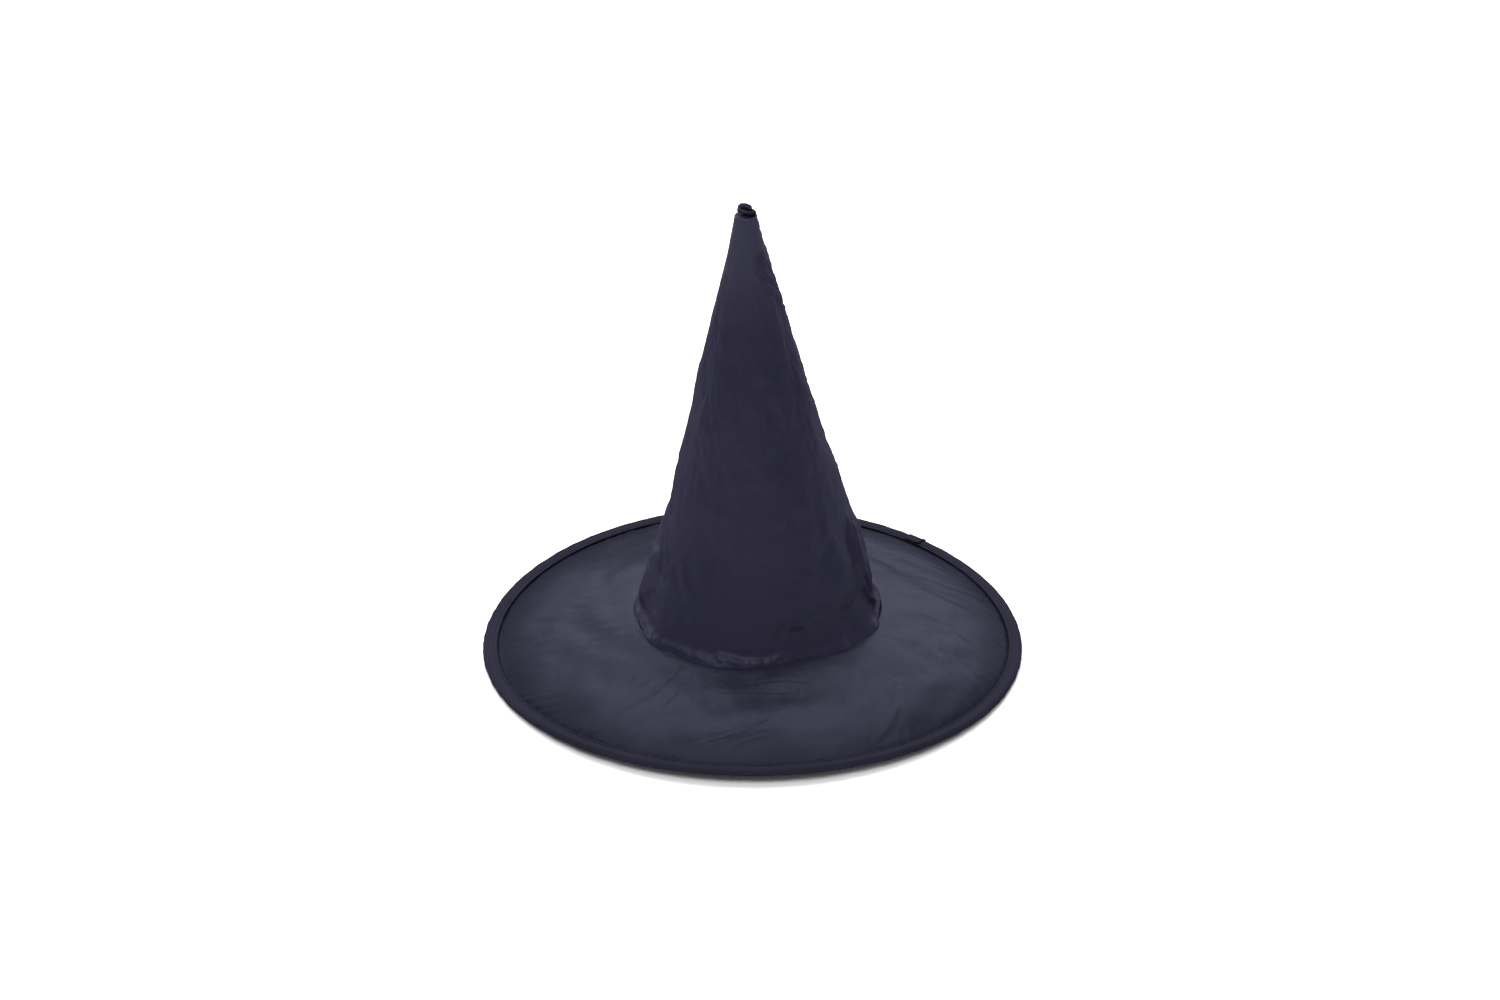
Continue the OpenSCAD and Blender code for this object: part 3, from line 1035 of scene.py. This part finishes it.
def painted_tip_light(cloth):
    """A painted highlight: the cloth is painted paler near its point, but for painted shade in the
    depths of the pinches beside the seam."""
    reach = cloth.reach() + 0.02 * cloth.noise(cloth.cut_place(), 30)
    # Painted highlight towards the cone's point
    painted_light = 0.7 * (1 - reach.between(0.045, 0.125))
    ragged = 0.006 * (cloth.noise(cloth.cut_place(0.5, 1.0), 420) - 0.5)
    # Painted shade: round each pinch the painted highlight is taken away
    for azimuth, z, size in pinches:
        u, v = cone_cut(azimuth, 0, z)
        near = cloth.cut_place(1.0, 1.0, 0.0, (-u * mm, -v * mm))
        painted_light = painted_light * (near.length() + ragged).between(0.0, size)
    return painted_light, shade(48, 47, 61), 0.046


crown_satin = satin(
    "crown_satin", shade(29, 28, 43), shade(35, 33, 49), gloss=0.036, painted_light=painted_tip_light
)
non_woven = felt("non_woven", shade(50, 49, 56), shade(68, 67, 75))
crown_cloth.data.materials.append(crown_satin)
crown_interfacing.data.materials.append(non_woven)

# The seam's two allowances, pressed open: a strip on the inside that narrows upwards
crown_seam = bmesh.new()
strip_low, strip_high, strip_in = 43.0, 319.4, 1.9
strip_corners = [(-8, strip_low), (8, strip_low), (2, strip_high), (-2, strip_high)]
crown_seam.faces.new([crown_seam.verts.new((0, y * mm, z * mm)) for y, z in strip_corners])
bmesh.ops.subdivide_edges(
    crown_seam,
    edges=[e for e in crown_seam.edges if abs(e.verts[0].co.z - e.verts[1].co.z) > 0.1],
    cuts=120,
    use_grid_fill=True,
)
bmesh.ops.subdivide_edges(
    crown_seam,
    edges=[e for e in crown_seam.edges if abs(e.verts[0].co.z - e.verts[1].co.z) < 1e-6],
    cuts=9,
    use_grid_fill=True,
)
crown_seam_piece = placed("crown_seam_strip", crown_seam)
x, y, z = (points_of(crown_seam_piece) / mm).T
azimuth = np.degrees(y / crown_radius(z)) + 2.0
fold = crown_fold_height(azimuth, z) - strip_in + 0.35 * np.exp(-np.abs(y) / 0.8)
r = crown_radius(z) + fold * math.cos(cone_half_angle)
cut = crown_seam_piece.data.uv_layers.new(name="cut")
corner = np.empty(len(crown_seam_piece.data.loops), int)
crown_seam_piece.data.loops.foreach_get("vertex_index", corner)
cut.data.foreach_set("uv", (np.stack([y[corner], z[corner]], axis=1) * mm).ravel())
move_to(crown_seam_piece, settle(r, azimuth, z))
face_towards(crown_seam_piece, lambda c: -outwards(c))
crown_seam_piece.data.materials.append(crown_satin)

for ply, stem, finish in (
    (crown_cloth, "crown_cloth", "satin"),
    (crown_interfacing, "crown_interfacing", "non_woven"),
    (crown_seam_piece, "crown_seam", "satin"),
):
    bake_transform(ply)
    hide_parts(stem + "_lower", stem + "_bend", stem + "_peak")

# ---- Tip: gathers, whipped thread and knot ---------------------------------------------------
# The crown's cloth is gathered at its point and whipped with thread. Its spare end is tied
# into a small hard knot, whose loop stands up over a slanting lower lobe.
tip_lean = float(crown_lean(np.array(crown_top)))


def tipped(piece, sideways=0.0):
    """Moves a tip piece, made on the axis, to the leaning crown's point."""
    points = points_of(piece) / mm
    points[:, 0] += tip_lean + sideways
    move_to(piece, points)


tip_gather = turned(
    "point_gathers",
    [
        (7.6, 330.8),
        (7.85, 331.5),
        (7.5, 332.1),
        (6.3, 332.1),
        (4.8, 331.6),
        (3.2, 331.8),
        (2.4, 332.5),
        (2.3, 333.6),
    ],
    96,
    2,
)
face_towards(tip_gather, lambda c: np.array((0, 0, 1)))
r, azimuth, z = round_places(points_of(tip_gather))
pleats = np.sin(np.radians(azimuth * 13 + 30 * np.sin(np.radians(azimuth * 2))))
amount = np.clip((7.7 - r) / 2.5, 0, 1)
cut_map(tip_gather, ring_cut)
points = np.stack(
    [
        (r + 0.22 * pleats * amount) * np.cos(np.radians(azimuth)),
        (r + 0.22 * pleats * amount) * np.sin(np.radians(azimuth)),
        z + 0.28 * pleats * amount + 0.25 * np.cos(np.radians(azimuth * 3)) * amount,
    ],
    axis=1,
)
move_to(tip_gather, points)
tipped(tip_gather)
tip_gather.data.materials.append(crown_satin)


def round_tube(name, path, radius, sides=10, closed=False):
    """A tube along a path of points in mm: a ring carried from point to point."""
    tube = bmesh.new()
    count = len(path)
    rings = []
    for index, spot in enumerate(path):
        after = path[(index + 1) % count] if closed or index < count - 1 else spot
        before = path[index - 1] if closed or index > 0 else spot
        ahead = (Vector(after) - Vector(before)).normalized()
        side = ahead.cross(Vector((0.31, 0.17, 0.93))).normalized()
        other = ahead.cross(side)
        wide = radius(index / count) if callable(radius) else radius
        ring = bmesh.ops.create_circle(tube, segments=sides, radius=1.0)["verts"]
        for vert in ring:
            vert.co = (Vector(spot) + (side * vert.co.x + other * vert.co.y) * wide) * mm
        edges = {edge for vert in ring for edge in vert.link_edges}
        rings.append(list(edges))
    pairs = list(zip(rings[:-1], rings[1:]))
    if closed:
        pairs.append((rings[-1], rings[0]))
    for first, second in pairs:
        bmesh.ops.bridge_loops(tube, edges=first + second)
    if not closed:
        bmesh.ops.holes_fill(tube, edges=tube.edges, sides=sides)
    bmesh.ops.recalc_face_normals(tube, faces=tube.faces)
    return placed(name, tube)


whip_turns = 2.2
whip = [
    (
        2.75 * math.cos(2 * math.pi * whip_turns * t),
        2.75 * math.sin(2 * math.pi * whip_turns * t),
        332.35 + 1.2 * t,
    )
    for t in np.linspace(0, 1, 60)
]
tip_thread = round_tube("point_thread", whip, 0.26, 8)
tipped(tip_thread)
tip_thread.data.materials.append(black_thread)


def smooth_loop(points, steps):
    """A smooth closed run through the points (a Catmull-Rom curve)."""
    places = [Vector(point) for point in points]
    count = len(places)
    run = []
    for index in range(count):
        before, here, after, beyond = (places[(index + k) % count] for k in (-1, 0, 1, 2))
        for t in np.arange(steps) / steps:
            run.append(
                0.5
                * (
                    2 * here
                    + (after - before) * t
                    + (2 * before - 5 * here + 4 * after - beyond) * t**2
                    + (3 * here - before - 3 * after + beyond) * t**3
                )
            )
    return run


# The rope lies once round the stem, lower at the right, and then loops over the top
knot_run = [
    (-3.9, -0.5, 4.2),
    (-2.1, -2.9, 3.8),
    (1.2, -3.2, 2.9),
    (4.1, -1.3, 1.9),
    (3.7, 1.8, 2.1),
    (0.6, 3.0, 3.0),
    (-2.7, 2.3, 4.1),
    (-3.6, 0.9, 5.7),
    (-2.6, -0.5, 7.3),
    (0.1, -0.9, 7.5),
    (1.7, -0.4, 6.0),
    (0.9, 0.6, 4.6),
    (-1.5, 0.7, 4.0),
]
knot_path = smooth_loop([(x, y, z + 331.4) for x, y, z in knot_run], 9)


def knot_thickness(t):
    """The rope's radius, which swells and narrows five times along it."""
    return 1.62 + 0.16 * math.sin(2 * math.pi * (5 * t + 0.2))


tip_knot = round_tube("point_knot", knot_path, knot_thickness, 16, closed=True)
points = points_of(tip_knot) / mm
points += 0.13 * np.sin(points[:, [1, 2, 0]] * 3.4 + 1.0) + 0.07 * np.sin(
    points[:, [2, 0, 1]] * 7.1
)
points[:, 0] *= 1.13
points[:, 2] += 341.2 - points[:, 2].max()
move_to(tip_knot, points)
tipped(tip_knot, 0.3)


def knot_cloth(name, deep, pale):
    """The crown's satin twisted into a rope: many fine wrinkles along it, and painted shade on its
    lower part.
    """
    cloth = Finish(name, specular_ior_level=0.0)
    cloth.add_gloss(0.05, (0.22, 0.218, 0.32, 1))
    place = cloth.value("ShaderNodeTexCoord", {}, {}, 3)
    wrinkle = cloth.noise(place, 900, 2.0)
    cloud = cloth.noise(place, 350, 2.0)
    # Painted shade: the knot is painted darker and less glossy below its loop
    low = 1 - place.part(2).between(0.3345, 0.3375)
    dye = cloth.mix(cloud.between(0.35, 0.65), deep, pale)
    cloth.wire("Base Color", cloth.mix(0.85 * low, dye, shade(9, 9, 15)))
    cloth.links.new((0.05 - 0.04 * low).socket, cloth.both.inputs[0])
    cloth.wire("Roughness", 0.42 + 0.1 * cloud)
    cloth.relief((wrinkle, 0.25), (cloud, 0.5))
    return cloth.material


tip_knot.data.materials.append(knot_cloth("knot_satin", shade(22, 21, 33), shade(44, 42, 58)))
for piece, node, finish in (
    (tip_gather, "tip_gather", "satin"),
    (tip_thread, "tip_thread", "thread"),
    (tip_knot, "tip_knot", "satin"),
):
    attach(piece, "hat_peak")
    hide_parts(node)

# ---- Table, backdrop and light ----------------------------------------------------------------
# A wide pale floor under very soft light: a large panel high behind the hat, a low one at
# each side of the back, a broad one overhead and one high in front.
floor_mesh = bmesh.new()
bmesh.ops.create_grid(floor_mesh, x_segments=1, y_segments=1, size=12.0)
floor = placed("floor", floor_mesh)
floor_finish = Finish("floor_white", specular_ior_level=0.1, roughness=0.9)
floor_finish.shader.inputs["Base Color"].default_value = (0.93, 0.93, 0.935, 1)
floor.data.materials.append(floor_finish.material)
floor.location.z = -0.0006


def panel(name, place, aim, width, height, power):
    """A soft light panel at place, facing aim."""
    light = bpy.data.lights.new(name, "AREA")
    light.shape = "RECTANGLE"
    light.size, light.size_y = width, height
    light.energy = power
    lamp = bpy.data.objects.new(name, light)
    bpy.context.scene.collection.objects.link(lamp)
    lamp.location = place
    lamp.rotation_euler = (Vector(aim) - Vector(place)).to_track_quat("-Z", "Y").to_euler()


panel("light_back", (0.3, 2.4, 1.2), (0, 0, 0.1), 2.7, 0.9, 62)
panel("light_top", (-0.2, 1.2, 3.0), (0, 0, 0), 3.0, 2.2, 105)
panel("light_left", (-2.0, 1.9, 0.62), (0, 0, 0.05), 1.4, 0.7, 40)
panel("light_right", (2.1, 1.9, 0.45), (0, 0, 0.05), 0.9, 0.7, 22)
panel("light_front", (-0.5, -1.9, 3.0), (0, 0, 0.1), 2.6, 1.6, 75)

world = bpy.data.worlds.new("studio")
bpy.context.scene.world = world
world.use_nodes = True
sky = world.node_tree.nodes["Background"]
sky.inputs["Color"].default_value = (1, 1, 1, 1)
sky.inputs["Strength"].default_value = 0.45
bpy.context.scene.view_settings.view_transform = "Standard"
